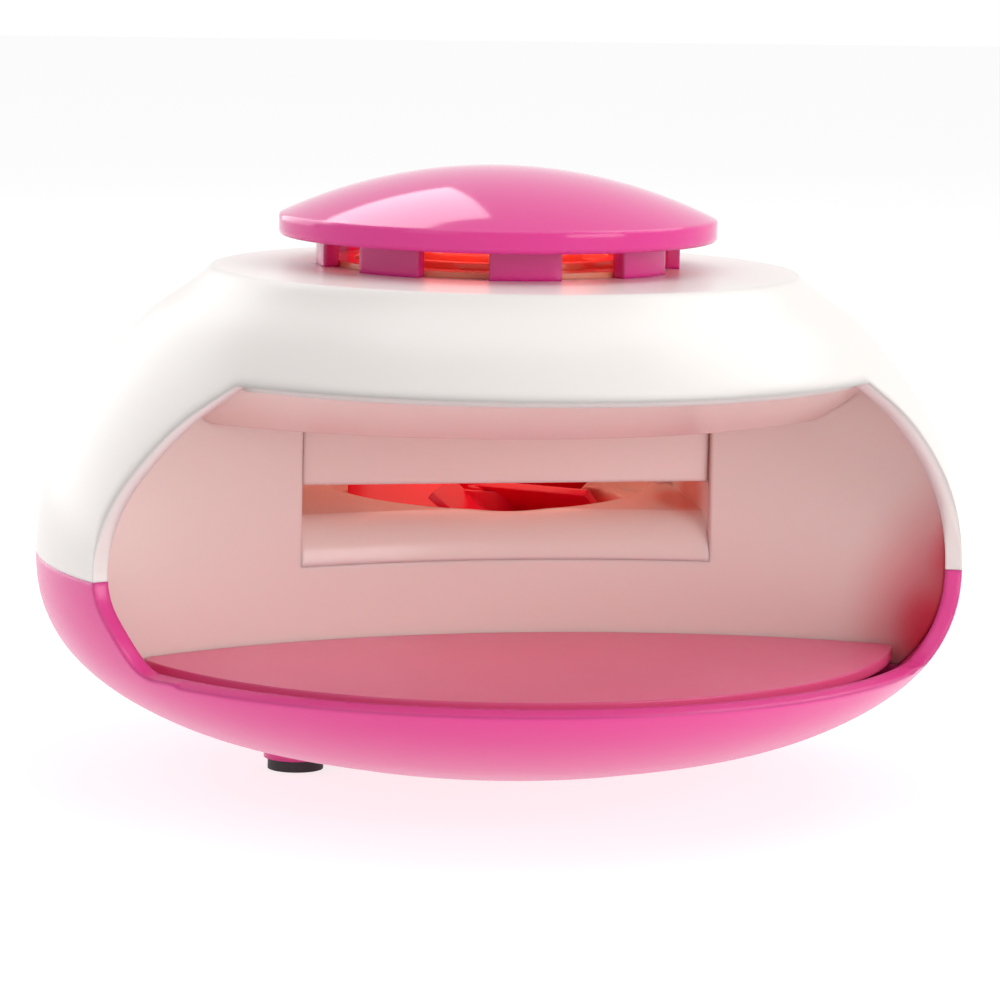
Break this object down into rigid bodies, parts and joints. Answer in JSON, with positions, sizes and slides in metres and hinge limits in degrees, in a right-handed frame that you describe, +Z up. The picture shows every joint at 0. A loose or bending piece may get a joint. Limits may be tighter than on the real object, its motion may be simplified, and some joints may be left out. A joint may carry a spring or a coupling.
{
  "type": "nail dryer",
  "caption": "Small battery fan nail dryer: round two-shell body with a wide finger opening, a sprung floor plate that starts the fan and a domed air-intake cap.",
  "frame": {"origin": "on the floor under the middle of the object, at the level of the undersides of the feet", "axes": "+Z up, the finger opening faces -Y, X runs left to right; the round body's own axis is the Z axis"},
  "size_m": [0.135, 0.131, 0.0887],
  "materials": {
    "bowl_pink": "soft gloss",
    "shell_white": "soft gloss",
    "liner_white": "satin, slightly see-through",
    "cap_pink": "gloss",
    "plate_pink": "satin",
    "fan_red": "gloss",
    "grille_amber": "gloss, slightly see-through",
    "steel": "satin",
    "zinc": "satin",
    "brass": "satin",
    "black_plastic": "matte",
    "white_nylon": "matte",
    "cell_wrap": "gloss",
    "foot_rubber": "matte",
    "wire_red": "satin",
    "wire_black": "satin"
  },
  "bodies": {
    "housing": {"lower_shell": "bowl_pink", "upper_shell": "shell_white", "cavity_liner": "liner_white", "fan_duct": "liner_white", "duct_roof": "liner_white", "duct_wall": "liner_white", "baffle_plate": "liner_white", "plate_spring_left": "steel", "plate_spring_right": "steel", "switch_body": "black_plastic", "motor_can": "zinc", "motor_bush": "brass", "motor_terminals": "brass", "motor_end_bell": "white_nylon", "motor_clamp": "white_nylon", "clamp_screws": "steel", "body_screws": "steel", "battery_cell_front": "cell_wrap", "battery_cell_rear": "cell_wrap", "contact_front_left": "steel", "contact_front_right": "steel", "contact_rear_left": "steel", "contact_rear_right": "steel", "cell_spring_front": "steel", "cell_spring_rear": "steel", "wire_motor_plus": "wire_red", "wire_motor_minus": "wire_black", "wire_switch_front": "wire_black", "wire_switch_rear": "wire_red", "foot_front_left": "foot_rubber", "foot_front_right": "foot_rubber", "foot_back_left": "foot_rubber", "foot_back_right": "foot_rubber", "post_ring": "cap_pink", "cap": "cap_pink", "intake_grille": "grille_amber"},
    "floor_plate": {"press_plate": "plate_pink"},
    "plunger": {"switch_plunger": "white_nylon"},
    "fan": {"fan_wheel": "fan_red", "motor_shaft": "steel", "motor_rotor": "steel"},
    "door": {"battery_door": "bowl_pink"}
  },
  "joints": [
    {"name": "fan_spin", "type": "hinge", "parent": "housing", "child": "fan", "pos_m": [0.0025, 0.02305, 0.0375], "axis": [0, 0, 1], "continuous": true},
    {"name": "plate_press", "type": "slide", "parent": "housing", "child": "floor_plate", "axis": [0, 0, -1], "range_m": [0, 0.0012], "stiffness_N_per_m": 900, "springref_m": -0.001, "deforming": ["plate_spring_left", "plate_spring_right"]},
    {"name": "plunger_press", "type": "slide", "parent": "housing", "child": "plunger", "axis": [0, 0, -1], "range_m": [0, 0.0012]},
    {"name": "door_release", "type": "slide", "parent": "housing", "child": "door", "axis": [0, 0, -1], "range_m": [0, 0.03]}
  ],
  "couplings": [
    {"joint": "plunger_press", "follows": "plate_press", "ratio": 1}
  ]
}
